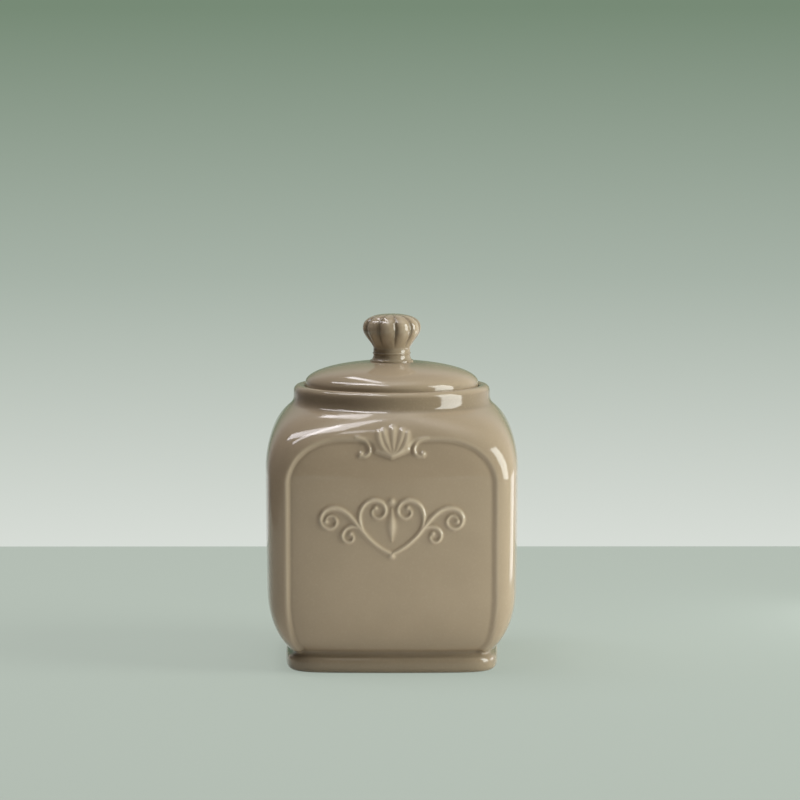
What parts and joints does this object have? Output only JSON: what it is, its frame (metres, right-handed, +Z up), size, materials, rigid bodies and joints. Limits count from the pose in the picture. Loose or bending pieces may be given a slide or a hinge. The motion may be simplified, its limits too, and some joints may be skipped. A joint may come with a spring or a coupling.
{
  "type": "salt jar",
  "caption": "Lidded ceramic salt jar: rounded-square glazed body on a plinth foot, arched relief panels, round neck, domed drop-in lid with a seal ring and a lobed knob.",
  "frame": {"origin": "centre of the foot's underside, on the plane that the jar stands on", "axes": "+Z up along the axis of the neck, lid and knob; the front panel faces -Y; +X to the right seen from the front"},
  "size_m": [0.1202, 0.1196, 0.1652],
  "materials": {
    "jar_glaze": "glossy taupe glaze over stoneware",
    "lid_glaze": "glossy taupe glaze over stoneware",
    "knob_glaze": "glossy taupe glaze over stoneware",
    "seal_silicone": "satin translucent silicone"
  },
  "bodies": {
    "jar": {"jar_body": "jar_glaze"},
    "seal": {"lid_seal": "seal_silicone"},
    "lid": {"lid": "lid_glaze", "knob": "knob_glaze"}
  },
  "joints": [
    {"name": "lid_lift", "type": "slide", "parent": "jar", "child": "seal", "axis": [0, 0, 1], "range_m": [0, 0.06]},
    {"name": "lid_turn", "type": "hinge", "parent": "seal", "child": "lid", "pos_m": [0, 0, 0.1226], "axis": [0, 0, 1], "continuous": true}
  ]
}
